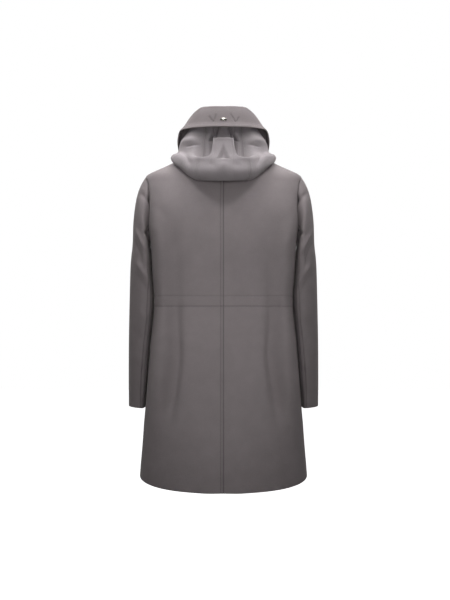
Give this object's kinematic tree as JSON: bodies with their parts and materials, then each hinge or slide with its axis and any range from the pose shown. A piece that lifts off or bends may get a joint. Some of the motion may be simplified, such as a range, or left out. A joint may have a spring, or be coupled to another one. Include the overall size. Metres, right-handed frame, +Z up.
{
  "type": "hooded parka",
  "caption": "Knee-length hooded parka, filled out as worn: straight body, long sleeves, turned-down collar, hood hanging behind the neck.",
  "frame": {"origin": "middle of the neckline, where the wearer's shoulders and neck carry the coat", "axes": "+Z up, -Y out of the back, +Y out of the front, +X towards the wearer's right"},
  "size_m": [0.5712, 0.3034, 1.1213],
  "materials": {
    "parka_cloth": "matte bonded cloth",
    "hood_cloth": "matte bonded cloth",
    "stud_metal": "polished"
  },
  "bodies": {
    "root": {"back_left": "parka_cloth", "back_right": "parka_cloth", "front_left": "parka_cloth", "front_right": "parka_cloth", "front_fly": "parka_cloth", "sleeve_upper_left": "parka_cloth", "sleeve_upper_right": "parka_cloth", "sleeve_under_left": "parka_cloth", "sleeve_under_right": "parka_cloth", "collar": "parka_cloth", "hood_centre": "hood_cloth", "hood_side_left": "hood_cloth", "hood_side_right": "hood_cloth", "collar_stud": "stud_metal"}
  },
  "joints": []
}
